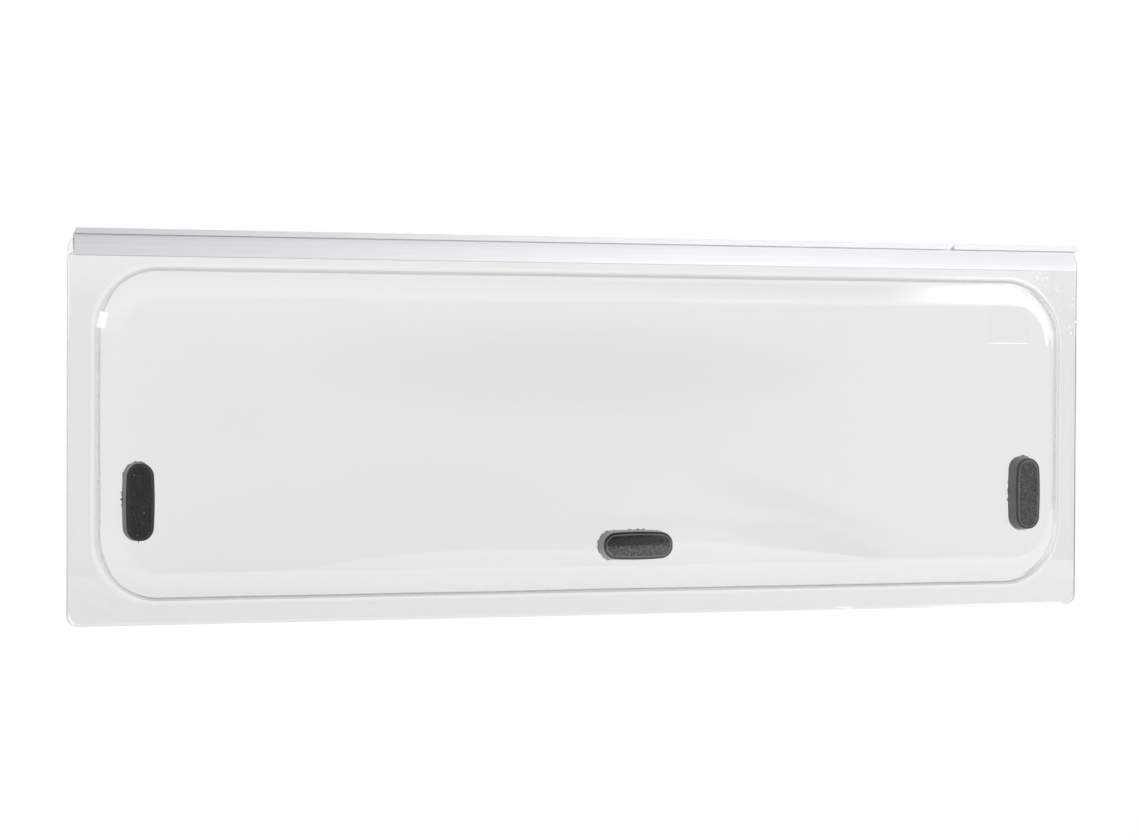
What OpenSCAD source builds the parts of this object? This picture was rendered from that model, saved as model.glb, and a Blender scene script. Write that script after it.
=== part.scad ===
// Top-hung caravan window: a blown acrylic outer pane and a flat inner pane, bonded round
// their flange, hung from an aluminium hook rail, with three plastic blocks between the panes.
// +X runs along the width (to the right seen from outdoors), +Y points indoors and +Z up.
// The origin is the middle of the panes, on the flat indoor face of the inner pane.

/* [Panes] */
// Width of both panes
pane_w = 1120; // [900:5:1500]
// Height of the outer pane
pane_h = 385; // [330:1:600]
// Corner radius of the panes
pane_corner_r = 11; // [6:1:16]
// Thickness of the outer pane
outer_t = 3; // [2:0.5:4]
// Thickness of the inner pane
inner_t = 2.5; // [2:0.5:4]
// Thickness of the clear bond between the panes
bond_t = 0.3; // [0.2:0.1:0.6]
// Distance from the panes' edges to the bond
bond_setback = 1; // [0.5:0.1:3]
// How far the bond is squeezed out under the dome's edge
bond_squeeze = 8.5; // [6:0.1:10]

/* [Dome] */
// Flat flange to the left of the dome
flange_left = 23.2; // [16:0.2:30]
// Flat flange to the right of the dome
flange_right = 18.8; // [16:0.2:30]
// Flat flange below the dome
flange_bottom = 20.3; // [16:0.1:30]
// Flat flange above the dome
flange_top = 25.5; // [24:0.1:34]
// Height of the dome's front above the flange's front
dome_rise = 16.3; // [13:0.1:22]
// Corner radius of the dome at the flange
dome_corner_r = 69; // [50:1:90]
// Steepest angle of the dome's edge
edge_angle = 50; // [42:1:54]
// Front radius of the bend from the flange into the edge
root_r = 8; // [4:0.5:9]
// Front radius of the bend from the edge into the shoulder
shoulder_r = 26; // [18:1:32]

/* [Hinge rail] */
// Distance from the rail's left end to the side of the panes
rail_setback_left = 5.9; // [2:0.1:20]
// Distance from the rail's right end to the side of the panes
rail_setback_right = 4; // [2:0.1:20]
// Wall thickness of the rail's slot
rail_wall = 1.6; // [1.2:0.1:2.2]
// Height of the front leg over the pane
front_leg_h = 18.3; // [15:0.1:22]
// Height of the back leg over the pane
back_leg_h = 13; // [10:0.1:14]
// Sealant between the pane and each wall of the slot
slot_gap = 0.3; // [0.2:0.1:0.6]
// Sealant between the pane's top edge and the slot's roof
slot_roof_gap = 0.5; // [0.3:0.1:1.5]
// Radius of the bead along the top of the front leg
bead_r = 1.5; // [1:0.1:1.8]
// Bevel along the foot of the front leg
leg_bevel = 0.8; // [0.3:0.1:1.2]
// Thickness of the hook
hook_t = 1.8; // [1.4:0.1:2.2]
// Depth of the hook's lip in front of the front leg
hook_reach = 8.2; // [7.8:0.1:12]
// Height of the hook above the pane's top edge
hook_h = 9; // [8.8:0.1:12]
// Height of the hook's lip face
lip_h = 5.7; // [4:0.1:6]
// Distance from the notch in the hook to the rail's right end
notch_from_end = 155.2; // [60:0.2:300]
// Width of the notch in the hook
notch_w = 7.9; // [3:0.1:12]

/* [Blocks] */
// Length of a block's front face
block_len = 76; // [60:1:90]
// Width of a block's front face
block_w = 28.4; // [22:0.2:34]
// Corner radius of a block's front face
block_corner_r = 10.5; // [6:0.5:11]
// Swell of a block's long sides
side_bow = 1.7; // [0:0.1:3]
// Swell of a block's ends
end_bow = 1.2; // [0:0.1:3]
// Growth of a block on each side towards the inner pane
block_draft = 0.94; // [0:0.02:2]
// Width of the rounded rim round a block's front face
rim_w = 2.7; // [1.5:0.1:4]
// Depth of the rounded rim
rim_d = 1.6; // [0.8:0.1:3]
// Thickness of the adhesive on a block's front face
adhesive_t = 0.3; // [0.1:0.1:0.6]
// Distance from a side block's middle to the dome's side
side_block_in = 46.8; // [46:0.2:80]
// Height of the side blocks' middle above the panes' bottom edge
side_block_up = 123; // [100:1:180]
// Distance from the latch block's middle to the middle of the panes, to the right
latch_block_across = 38.8; // [-200:0.2:200]
// Height of the latch block's middle above the panes' bottom edge
latch_block_up = 72.6; // [68:0.2:100]

/* [Label] */
// Width of the blank label
label_w = 50; // [30:1:56]
// Height of the blank label
label_h = 40; // [25:1:50]
// Thickness of the blank label
label_t = 0.15; // [0.1:0.05:0.3]
// Distance from the label's middle to the panes' right side
label_from_side = 92.5; // [90:0.5:200]
// Distance from the label's middle to the panes' top
label_from_top = 78.5; // [76:0.5:120]

/* [Hidden] */
$fn = 96;

// Height of the inner pane's top edge above its bottom edge, just below the rail's back leg
back_leg_clearance = 0.5;
inner_h = pane_h - back_leg_h - back_leg_clearance;

// Depths, counted outdoors from the inner pane's indoor face
bond_depth = inner_t;
outer_depth = bond_depth + bond_t;
flange_depth = outer_depth + outer_t;
dome_depth = flange_depth + dome_rise;
block_d = dome_depth - outer_t - adhesive_t - inner_t;
pane_top = pane_h / 2;
pane_bottom = -pane_h / 2;

// The dome's outline at the flange
dome_w = pane_w - flange_left - flange_right;
dome_h = pane_h - flange_bottom - flange_top;
dome_mid = [(flange_left - flange_right) / 2, (flange_bottom - flange_top) / 2];
dome_left = -pane_w / 2 + flange_left;
dome_right = pane_w / 2 - flange_right;

// Distances between the middles of the dome's corners
mid_w = dome_w - 2 * dome_corner_r;
mid_h = dome_h - 2 * dome_corner_r;

// Steps in each bend of the dome's section
bend_steps = 12;

// Steps along a block's sides, round its corners and over its rim
side_steps = 8;
corner_steps = 6;
rim_steps = 4;

// Middles of the blocks
left_place = [dome_left + side_block_in, pane_bottom + side_block_up];
right_place = [dome_right - side_block_in, pane_bottom + side_block_up];
latch_place = [latch_block_across, pane_bottom + latch_block_up];

label_corner_r = 1.5;

// Lengths along the section, from the root bend to the flat of the dome
bend_drop = (shoulder_r + root_r) * (1 - cos(edge_angle));
edge_len = (dome_rise - bend_drop) / sin(edge_angle);
edge_run = (shoulder_r + root_r) * sin(edge_angle) + edge_len * cos(edge_angle);
crown_r = dome_corner_r - edge_run;

// Length of sheet that the dome's edge shares with the flange round it
flange_lap = 2;

// Points on an arc: middle, radius, first and last angle
function arc(mid, r, from, to, steps = bend_steps) =
    [for (i = [0 : steps]) let (a = from + (to - from) * i / steps)
        mid + r * [cos(a), sin(a)]];

// One surface of the dome's section: x is the distance from the corner's middle, y the height
// above the flange's front, and inset is the depth below the outdoor surface
function dome_surface(inset) = concat(
    [[0, dome_rise - inset]],
    arc([crown_r, dome_rise - shoulder_r], shoulder_r - inset, 90, 90 - edge_angle),
    arc([dome_corner_r, root_r], root_r + inset, 270 - edge_angle, 270),
    [[dome_corner_r + flange_lap, -inset]]);

// The section of the dome's edge, from the corner's middle out to the flange
module dome_section() {
    outdoor = dome_surface(0);
    indoor = dome_surface(outer_t);
    last = len(indoor) - 1;
    polygon(concat(outdoor, [for (i = [last : -1 : 0]) indoor[i]]));
}

// Part of the squeezed bond's width that also clings to the outer pane
cling = 0.55;

// The section of the bond: a film under the flange, and what was squeezed out under the
// outer pane's bend, down to a thin edge on the inner pane
module bond_section() {
    bend_r = root_r + outer_t;
    squeeze_angle = asin(min(cling * bond_squeeze / bend_r, sin(edge_angle)));
    film = -outer_t - bond_t;
    polygon(concat(
        arc([dome_corner_r, root_r], bend_r, 270 - squeeze_angle, 270),
        [[dome_corner_r + flange_lap, -outer_t], [dome_corner_r + flange_lap, film],
         [dome_corner_r - bond_squeeze, film]]));
}

// A rectangle with round corners, centred on the origin
module rounded(w, h, r) {
    square([w - 2 * r, h], center = true);
    square([w, h - 2 * r], center = true);
    for (x = [-1, 1], z = [-1, 1])
        translate([x * (w / 2 - r), z * (h / 2 - r)]) circle(r);
}

// Stands a flat outline upright, with its indoor side at the given depth
module upright(depth, thickness) {
    translate([0, -depth, 0]) rotate([90, 0, 0]) linear_extrude(thickness) children();
}

// The panes' outline, as high as given, on the panes' bottom edge, drawn in by inset
module pane_outline(h, inset = 0) {
    translate([0, pane_bottom + h / 2])
        rounded(pane_w - 2 * inset, h - 2 * inset, pane_corner_r - inset);
}

module dome_outline() {
    translate(dome_mid) rounded(dome_w, dome_h, dome_corner_r);
}

// Stands what is drawn lying down upright on the flange's front, round the dome's middle
module at_dome() {
    translate([dome_mid.x, -flange_depth, dome_mid.y]) rotate([90, 0, 0]) children();
}

// Runs a section round the dome's outline: four straight sides and four round corners
module round_dome() {
    for (quarter = [0 : 3]) {
        upright_side = quarter % 2 == 0;
        length = upright_side ? mid_h : mid_w;
        reach = (upright_side ? mid_w : mid_h) / 2;
        rotate(90 * quarter) translate([reach, 0, 0]) {
            rotate([90, 0, 0]) linear_extrude(length, center = true) children();
            translate([0, length / 2, 0]) rotate_extrude(angle = 90) children();
        }
    }
}

module outer_pane() {
    color("#eef1f1", 0.35) union() {
        upright(outer_depth, outer_t) difference() {
            pane_outline(pane_h);
            dome_outline();
        }
        at_dome() {
            round_dome() dome_section();
            // The flat middle reaches over the flat part of the sides and corners
            translate([0, 0, dome_rise - outer_t / 2])
                cube([mid_w + crown_r, mid_h + crown_r, outer_t], center = true);
        }
    }
}

module inner_pane() {
    color("#e9eded", 0.35) upright(0, inner_t) pane_outline(inner_h);
}

module pane_bond() {
    color("#e4e9e8", 0.6) union() {
        upright(bond_depth, bond_t) difference() {
            pane_outline(inner_h, bond_setback);
            dome_outline();
        }
        at_dome() round_dome() bond_section();
    }
}

// Depths and heights of the rail's section, which stands on the pane's top edge
rail_len = pane_w - rail_setback_left - rail_setback_right;
rail_left = -pane_w / 2 + rail_setback_left;
rail_right = pane_w / 2 - rail_setback_right;
slot_front = flange_depth + slot_gap;
slot_back = outer_depth - slot_gap;
leg_front = slot_front + rail_wall;
leg_back = slot_back - rail_wall;
roof_top = slot_roof_gap + rail_wall;
lip_front = leg_front + hook_reach;
lip_back = lip_front - hook_t;
hook_slope = atan((hook_h - roof_top) / (lip_front - leg_back));
hook_drop = hook_t / cos(hook_slope);

// Height of the underside of the hook's web at a depth
function web_bottom(depth) = roof_top + (depth - leg_back) * tan(hook_slope) - hook_drop;

// The rail's section: x is the depth outdoors, y the height above the pane's top edge. It goes
// up the front leg, back over the slot's roof, forward under the web, round the lip, back over
// the web, and round the back leg and the slot.
module rail_section() {
    polygon([
        [slot_front, -front_leg_h], [leg_front - leg_bevel, -front_leg_h],
        [leg_front, -front_leg_h + leg_bevel], [leg_front, roof_top],
        [leg_back + hook_drop / tan(hook_slope), roof_top],
        [lip_back, web_bottom(lip_back)], [lip_back, hook_h - lip_h],
        [lip_front, hook_h - lip_h], [lip_front, hook_h],
        [leg_back, roof_top], [leg_back, -back_leg_h], [slot_back, -back_leg_h],
        [slot_back, slot_roof_gap], [slot_front, slot_roof_gap]]);
    translate([leg_front, slot_roof_gap + rail_wall / 2]) circle(bead_r);
}

// Runs a section of depth and height along the pane's top edge
module along_rail() {
    translate([rail_left, 0, pane_top]) rotate([90, 0, 90])
        linear_extrude(rail_len) mirror([1, 0]) children();
}

// Notch sawn through the hook, down to the slot's roof. The saw runs out past it on both sides.
module notch() {
    saw_runout = 1;
    reach = lip_front - leg_back + 2 * saw_runout;
    translate([rail_right - notch_from_end - notch_w / 2, -lip_front - saw_runout, pane_top + roof_top])
        cube([notch_w, reach, hook_h]);
}

module hinge_rail() {
    color("#c9cacd") difference() {
        along_rail() rail_section();
        notch();
    }
}

// Sealant that fills the slot round the top of the outer pane
module rail_sealant() {
    color("#d9dbda") along_rail() difference() {
        translate([slot_back, -back_leg_h])
            square([slot_front - slot_back, back_leg_h + slot_roof_gap]);
        translate([outer_depth, -back_leg_h - 1]) square([outer_t, back_leg_h + 1]);
    }
}

// Points between two ends, without the ends
function between(from, to, steps = side_steps) =
    [for (i = [1 : steps - 1]) from + (to - from) * i / steps];

// Pushes a point of a rectangle of half sizes a and b out, most at the middle of each side
function swell(p, a, b) = [p.x * (1 + end_bow / a * (1 - pow(p.y / b, 2))),
                           p.y * (1 + side_bow / b * (1 - pow(p.x / a, 2)))];

// A block's outline, drawn in by inset: a rounded rectangle with swelling sides
function block_outline(inset) =
    let (a = block_len / 2 - end_bow - inset,
         b = block_w / 2 - side_bow - inset,
         r = block_corner_r - inset,
         corners = [for (k = [0 : 3])
             arc([(k == 0 || k == 3 ? 1 : -1) * (a - r), (k < 2 ? 1 : -1) * (b - r)],
                 r, 90 * k, 90 * k + 90, corner_steps)])
    [for (k = [0 : 3])
        for (p = concat(corners[k], between(corners[k][corner_steps], corners[(k + 1) % 4][0])))
            swell(p, a, b)];

// Insets and depths of a block's rings, from its front face to the inner pane
block_rings = concat(
    [for (i = [0 : rim_steps]) let (a = 90 * i / rim_steps)
        [rim_w * (1 - sin(a)), rim_d * (1 - cos(a))]],
    [[-block_draft, block_d]]);

// A block, its length along +X, from the inner pane towards +Z
module block() {
    outlines = [for (ring = block_rings) block_outline(ring.x)];
    n = len(outlines[0]);
    last = len(block_rings) - 1;
    points = [for (k = [0 : last]) for (p = outlines[k]) [p.x, p.y, block_d - block_rings[k].y]];
    sides = [for (k = [0 : last - 1]) for (i = [0 : n - 1]) let (j = (i + 1) % n)
        each [[k * n + i, k * n + j, (k + 1) * n + j], [k * n + i, (k + 1) * n + j, (k + 1) * n + i]]];
    front = [for (i = [n - 1 : -1 : 0]) i];
    back = [for (i = [0 : n - 1]) last * n + i];
    polyhedron(points, concat(sides, [front, back]));
}

// Puts what is drawn lying down at a block's place, on a plane at the given depth
module at_block(place, turn, depth) {
    translate([place.x, -depth, place.y]) rotate([90, 0, 0]) rotate(turn) children();
}

module spacer_block(place, turn) {
    color("#2b2c2e") at_block(place, turn, inner_t) block();
}

module block_adhesive(place, turn) {
    color("#4a4b4d") at_block(place, turn, inner_t + block_d)
        linear_extrude(adhesive_t) polygon(block_outline(rim_w));
}

module left_stay_block() { spacer_block(left_place, 90); }
module right_stay_block() { spacer_block(right_place, 90); }
module latch_block() { spacer_block(latch_place, 0); }
module left_block_adhesive() { block_adhesive(left_place, 90); }
module right_block_adhesive() { block_adhesive(right_place, 90); }
module latch_block_adhesive() { block_adhesive(latch_place, 0); }

// Blank film in the corner of the dome's front
module blank_label() {
    color("#f4f6f6", 0.5) upright(dome_depth, label_t)
        translate([pane_w / 2 - label_from_side, pane_top - label_from_top])
            rounded(label_w, label_h, label_corner_r);
}

outer_pane();
inner_pane();
pane_bond();
hinge_rail();
rail_sealant();
left_stay_block();
right_stay_block();
latch_block();
left_block_adhesive();
right_block_adhesive();
latch_block_adhesive();
blank_label();
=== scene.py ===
"""The caravan window as it looks: a blown acrylic outer pane bonded to a flat inner pane, three
black spacer blocks between them, an aluminium hook rail on the top edge and a bare label film.

Sizes are in millimetres, as in part.scad, and become metres as each mesh is made. X runs to the
right as seen from outdoors, +Y indoors and Z up. A depth counts outdoors, towards -Y, from the
inner pane's indoor face. Materials, the floor and the studio count in metres.
"""

import math

import bmesh
import bpy
import numpy as np
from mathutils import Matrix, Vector


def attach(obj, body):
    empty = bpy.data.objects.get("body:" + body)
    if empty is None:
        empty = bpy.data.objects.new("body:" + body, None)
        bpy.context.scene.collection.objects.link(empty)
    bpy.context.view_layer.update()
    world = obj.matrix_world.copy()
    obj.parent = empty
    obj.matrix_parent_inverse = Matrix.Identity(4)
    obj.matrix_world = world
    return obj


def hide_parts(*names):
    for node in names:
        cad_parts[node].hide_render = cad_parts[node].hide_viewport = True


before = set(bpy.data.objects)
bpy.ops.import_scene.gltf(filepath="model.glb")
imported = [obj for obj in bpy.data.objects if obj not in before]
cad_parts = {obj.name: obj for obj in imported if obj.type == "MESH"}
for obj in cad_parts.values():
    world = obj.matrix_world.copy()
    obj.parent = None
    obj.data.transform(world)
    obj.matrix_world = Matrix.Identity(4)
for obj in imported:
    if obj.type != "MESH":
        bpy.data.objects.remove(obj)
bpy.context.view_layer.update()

MM = 0.001

# Sizes, from part.scad

PANE_W, PANE_H, PANE_R = 1120.0, 385.0, 11.0
INNER_H, INNER_MID = 371.5, (0.0, -6.75)
DOME_W, DOME_H, DOME_R = 1078.0, 339.2, 69.0
DOME_MID = (2.2, -2.6)
INNER_DEPTH, BOND_TOP, FLANGE_DEPTH, CROWN_DEPTH = 2.5, 2.8, 5.8, 22.1
OUTER_T = 3.0
ROOT_R, SHOULDER_R, EDGE_ANGLE, RISE = 3.0, 26.0, math.radians(50), 16.3
ROOT_INSET = 2.3
PANE_TOP = PANE_H / 2
RAIL_LEFT, RAIL_RIGHT = -554.1, 556.0
NOTCH_LEFT, NOTCH_RIGHT = 396.85, 404.75
LEFT_BLOCK, RIGHT_BLOCK, LATCH_BLOCK = (-490.0, -69.5), (494.4, -69.5), (38.8, -119.9)
BLOCK_LEN, BLOCK_W, BLOCK_R, SIDE_BOW, END_BOW = 77.0, 29.2, 10.8, 1.7, 1.2
# Height of the lip's foot on the hook over the panes' top
HOOK_FOOT = 2.85
LABEL_MID, LABEL_W, LABEL_H, LABEL_R = (467.5, 114.0), 50.0, 40.0, 1.7

# Sizes of what is in the scene only

# Clearance that keeps two touching clear faces apart
AIR = 0.02
# Broken corners of a sheet's cut edge, and the chip in the bottom one: X and height of 5 points
ARRIS = 0.35
CHIP_X, CHIP = 271.0, ((-2.6, 0.0), (-1.5, 0.9), (-0.2, 1.5), (1.3, 0.7), (2.2, 0.0))
# Most that the blown sheet sinks below a true plane, and its unevenness where it sinks least
SINK = 0.1
# How far inside the dome's outline the unevenness sets in, and over what width
WAVES_FROM, WAVES_OVER = 9.0, 24.0
# Widths of the squeezed adhesive and of its rolled lip: most of it on the left, least on the right
SQUEEZED_W, SQUEEZED_LEFT, SQUEEZED_RIGHT = 8.0, 2.8, -2.6
LIP_W, LIP_LEFT, LIP_RIGHT, LIP_FOOT = 0.85, 1.6, -0.45, 0.35
# The rounded rim of a block's face, how far its sides spread by mould draft alone, and the torn
# flash at its base: at how many points, how long at least and at most, and one drip
RIM_W, RIM_D, DRAFT = 2.0, 1.3, 0.45
TORN_POINTS, TORN_LEAST, TORN_MOST, DRIP = 22, 0.7, 1.9, 3.4
DRIP_AT = (1.5, -45.0)
LABEL_T = 0.15
# Steps along a long side, an end and a corner of a ring round a pane, the bond and the label
STEPS, BOND_STEPS, LABEL_STEPS = (134, 28, 24), (400, 130, 50), (16, 13, 6)
# Shares of the way over the flange at which it has rings, and insets of the crown's rings
FLANGE_RINGS, CROWN_RINGS = (0.12, 0.35, 0.65, 0.9), (34, 40, 46, 52, 58, 63)
# Strips of the dome's root that bear the clamping ring's mark and its painted shade, and that adhesive wets
# indoors
MARK_STRIPS, WET_STRIPS = 5, 16
# The cut edge is painted matt white up to this X, short of the middle: painted light that keeps it as bright
# as the pane beside it
PAINTED_LIGHT_TO = -0.5

rng = np.random.default_rng(7)

# Meshes


def mesh_piece(name, mesh_parts, materials, slot, *nodes, smooth_below=35):
    """A piece on the one body, from points of X, depth and Z in millimetres, faces and, where it
    has several materials, the number of each face's own. Its faces are turned outward."""
    points, faces, *marks = mesh_parts
    points = np.asarray(points, float)
    row = np.column_stack([points[:, 0], -points[:, 1], points[:, 2]]) * MM
    mesh = bpy.data.meshes.new(name)
    mesh.from_pydata(row.tolist(), [], faces)
    for material in materials:
        mesh.materials.append(material)
    if marks:
        mesh.polygons.foreach_set("material_index", np.asarray(marks[0], np.int32))
    mesh.polygons.foreach_set("use_smooth", [True] * len(mesh.polygons))
    mesh.update()
    mesh.validate()
    turn_outward(mesh)
    mesh.set_sharp_from_angle(angle=math.radians(smooth_below))
    piece = bpy.data.objects.new(name, mesh)
    bpy.context.scene.collection.objects.link(piece)
    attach(piece, "root")
    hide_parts(*nodes)


def turn_outward(mesh):
    editable = bmesh.new()
    editable.from_mesh(mesh)
    bmesh.ops.recalc_face_normals(editable, faces=editable.faces)
    editable.to_mesh(mesh)
    editable.free()


def ring(w, h, r, mid, side_steps, end_steps, corner_steps):
    """Points round an upright rounded rectangle, anticlockwise from its right side's top, and as
    many for every size, so that one ring joins the next."""
    a, b = w / 2 - r, h / 2 - r
    corners = []
    for k, (sx, sz) in enumerate(((1, 1), (-1, 1), (-1, -1), (1, -1))):
        angle = np.radians(np.linspace(90 * k, 90 * k + 90, corner_steps + 1))
        corners.append(np.column_stack([sx * a + r * np.cos(angle), sz * b + r * np.sin(angle)]))
    run = []
    for k in range(4):
        run.append(corners[k])
        start, end = corners[k][-1], corners[(k + 1) % 4][0]
        steps = side_steps if k % 2 == 0 else end_steps
        t = np.linspace(0, 1, steps + 1)[1:-1, None]
        run.append(start + (end - start) * t)
    return np.vstack(run) + np.array(mid)


def at_depth(outline, depth):
    """Points of X and Z taken to one depth, or each to its own."""
    return np.column_stack([outline[:, 0], np.full(len(outline), depth), outline[:, 1]])


def join_rings(count, rings, closed=False, capped=False):
    """Faces between successive rings of so many points each. Closed, the last ring joins the
    first; capped, one face closes each end."""
    faces = []
    i = np.arange(count)
    j = (i + 1) % count
    for k in range(rings if closed else rings - 1):
        near, far = k * count, ((k + 1) % rings) * count
        faces += np.column_stack([near + i, near + j, far + j, far + i]).tolist()
    if capped:
        faces += [i[::-1].tolist(), ((rings - 1) * count + i).tolist()]
    return faces


def mark_strips(count, faces, *strips):
    """A material number for each face: 0, but for strips between rings, as (from, to, number)."""
    marks = np.zeros(len(faces), int)
    for first, end, number in strips:
        marks[first * count:end * count] = number
    return marks


def fill_middle(last_ring, first_free, w, h, mid, side_steps, end_steps, corner_steps):
    """A grid inside a ring: its rim follows the ring's straight sides, and each corner of the
    ring fans out from one corner of the grid. Returns the grid's points and the faces."""
    xs = np.linspace(w / 2, -w / 2, side_steps + 1) + mid[0]
    zs = np.linspace(h / 2, -h / 2, end_steps + 1) + mid[1]
    grid = np.array([(x, z) for z in zs for x in xs])
    at = first_free + np.arange(len(grid)).reshape(end_steps + 1, side_steps + 1)
    faces = np.stack([at[:-1, :-1], at[:-1, 1:], at[1:, 1:], at[1:, :-1]], axis=-1).reshape(-1, 4).tolist()
    rim = []
    for side in (at[0], at[:, -1], at[-1, ::-1], at[::-1, 0]):
        rim += [int(side[0])] * corner_steps + side[:-1].tolist()
    for i, inner in enumerate(rim):
        j = (i + 1) % len(rim)
        a, b = last_ring + i, last_ring + j
        faces.append([a, b, inner] if rim[j] == inner else [a, b, rim[j], inner])
    return grid, faces


def shell(rows, w, h, mid, steps, front, rear):
    """A sheet of rings, from the front's middle round the edge to the rear's. Each middle is
    filled in, at the depth that a function of X and Z gives."""
    count = len(rows[0])
    points = np.vstack(rows)
    faces = join_rings(count, len(rows))
    for depth_of, last in ((front, 0), (rear, len(rows) - 1)):
        grid, middle = fill_middle(last * count, len(points), w, h, mid, *steps)
        points = np.vstack([points, at_depth(grid, depth_of(*grid.T))])
        faces += middle
    return points, faces


# The dome's own shape


def ease(t):
    t = np.clip(t, 0, 1)
    return t * t * (3 - 2 * t)


BEND_DROP = (SHOULDER_R + ROOT_R) * (1 - math.cos(EDGE_ANGLE))
EDGE_LEN = (RISE - BEND_DROP) / math.sin(EDGE_ANGLE)
EDGE_RUN = (SHOULDER_R + ROOT_R) * math.sin(EDGE_ANGLE) + EDGE_LEN * math.cos(EDGE_ANGLE)


def dome_section(steps=16):
    """Inset from the dome's outline, height over the flange, and slope, from root to crown."""
    rows = []
    for a in np.linspace(0, EDGE_ANGLE, steps):
        rows.append((ROOT_INSET + ROOT_R * math.sin(a), ROOT_R * (1 - math.cos(a)), a))
    inset, height, _ = rows[-1]
    up_wall = 0.4 * EDGE_LEN
    rows.append((inset + up_wall * math.cos(EDGE_ANGLE), height + up_wall * math.sin(EDGE_ANGLE), EDGE_ANGLE))
    for a in np.linspace(EDGE_ANGLE, 0, steps + 4):
        inset = ROOT_INSET + EDGE_RUN - SHOULDER_R * math.sin(a)
        rows.append((inset, RISE - SHOULDER_R * (1 - math.cos(a)), a))
    return rows


def foot(x, z):
    """How far the crown falls away along its foot, most near the middle: hot sheet sags there. It
    carries the reflected floor's edge up from the dome's foot in a long wave."""
    fall = (0.92 * ease((x + 400) / 250) * (0.3 + 0.7 * ease((330 - x) / 200))
            + 0.5 * np.exp(-((x - 98) / 52) ** 2))
    return fall * np.clip((-78 - z) / 65, 0, 1.1) ** 2


def slow_waves(x, z):
    """How far a face lies inside a true plane: the slow unevenness of blown sheet."""
    return (SINK + 0.030 * np.sin(x / 83 + z / 140 + 0.7) + 0.024 * np.sin(x / 47 - z / 71 + 2.1)
            + 0.016 * np.sin(x / 29 + z / 38 + 4.0))


def waved_share(x, z):
    """Share of the unevenness at a place: none at the dome's outline, all of it on the crown."""
    qx = np.abs(x - DOME_MID[0]) - (DOME_W / 2 - DOME_R)
    qz = np.abs(z - DOME_MID[1]) - (DOME_H / 2 - DOME_R)
    corner = np.hypot(np.maximum(qx, 0), np.maximum(qz, 0)) + np.minimum(np.maximum(qx, qz), 0)
    return ease((DOME_R - corner - WAVES_FROM) / WAVES_OVER)


def crown_front(x, z):
    """Depth of the crown's outdoor face."""
    return CROWN_DEPTH - (slow_waves(x, z) + foot(x, z)) * waved_share(x, z)


def crown_rear(x, z):
    """Depth of the crown's indoor face, which follows the outdoor one closely."""
    fall = slow_waves(x, z) - 1.6 * SINK + 0.93 * foot(x, z)
    return CROWN_DEPTH - OUTER_T - fall * waved_share(x, z)


def pane_edge(h, mid, front, rear):
    """Rings round a sheet's cut edge from the front face to the rear one, with broken corners."""
    rows = []
    for inset, depth in ((ARRIS, front), (ARRIS * 0.3, front - ARRIS * 0.3), (0, front - ARRIS),
                         (0, rear + ARRIS), (ARRIS * 0.3, rear + ARRIS * 0.3), (ARRIS, rear)):
        outline = ring(PANE_W - 2 * inset, h - 2 * inset, PANE_R - inset, mid, *STEPS)
        # The chip: the nearest points of the bottom edge close up round it
        at = np.flatnonzero((outline[:, 1] < 0) & (np.abs(outline[:, 0] - CHIP_X) < 60))
        at = at[np.argsort(np.abs(outline[at, 0] - CHIP_X))[:len(CHIP)]]
        at = at[np.argsort(outline[at, 0])]
        along, up = np.transpose(CHIP)
        outline[at, 0] = CHIP_X + along
        outline[at, 1] += up
        rows.append(at_depth(outline, depth))
    return rows


def paint_edge_light(points, faces, marks, number):
    """Gives the left half of the cut edge, whose faces are marked 1, the number of the edge painted matt
    white as painted light.
    """
    for i in np.flatnonzero(marks == 1):
        if max(points[corner][0] for corner in faces[i]) < PAINTED_LIGHT_TO:
            marks[i] = number
    return points, faces, marks


def dome_face(front):
    """Rings of one face of the dome, root to crown, and the flat middle inside them."""
    surface = crown_front if front else crown_rear
    plane = CROWN_DEPTH if front else CROWN_DEPTH - OUTER_T

    def dome_ring(inset):
        return ring(DOME_W - 2 * inset, DOME_H - 2 * inset, max(DOME_R - inset, 0.5), DOME_MID, *STEPS)

    rows = []
    for inset, height, slope in dome_section():
        if not front:
            inset, height = inset + OUTER_T * math.sin(slope), height - OUTER_T * math.cos(slope)
        outline = dome_ring(inset)
        rows.append(at_depth(outline, FLANGE_DEPTH + height + (surface(*outline.T) - plane)))
    for inset in CROWN_RINGS:
        outline = dome_ring(inset)
        rows.append(at_depth(outline, surface(*outline.T)))
    return rows


def outer_pane_mesh():
    edge = pane_edge(PANE_H, (0, 0), FLANGE_DEPTH, BOND_TOP)
    front_face, rear_face = dome_face(True), dome_face(False)
    front = [edge[0] + (front_face[0] - edge[0]) * t for t in FLANGE_RINGS]
    rear = [edge[-1] + (rear_face[0] - edge[-1]) * t for t in FLANGE_RINGS]
    # From the front's middle out, round the edge, and back in over the rear
    rows = front_face[::-1] + front[::-1] + edge + rear + rear_face
    middle_w, middle_h = DOME_W - 2 * DOME_R, DOME_H - 2 * DOME_R
    points, faces = shell(rows, middle_w, middle_h, DOME_MID, STEPS, crown_front, crown_rear)
    # The clamping ring's mark, painted darker to the right as shade, is the outermost strips of the
    # dome's outdoor root. The adhesive wets the indoor face round its bend and a little way up the wall.
    root = len(front_face) - 1
    cut_from = len(front_face) + len(front)
    cut_to = cut_from + len(edge) - 1
    wet = cut_to + len(rear)
    marks = mark_strips(len(rows[0]), faces, (root - MARK_STRIPS, root, 3), (cut_from, cut_to, 1),
                        (wet, wet + WET_STRIPS, 2))
    return paint_edge_light(points, faces, marks, 4)


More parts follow.
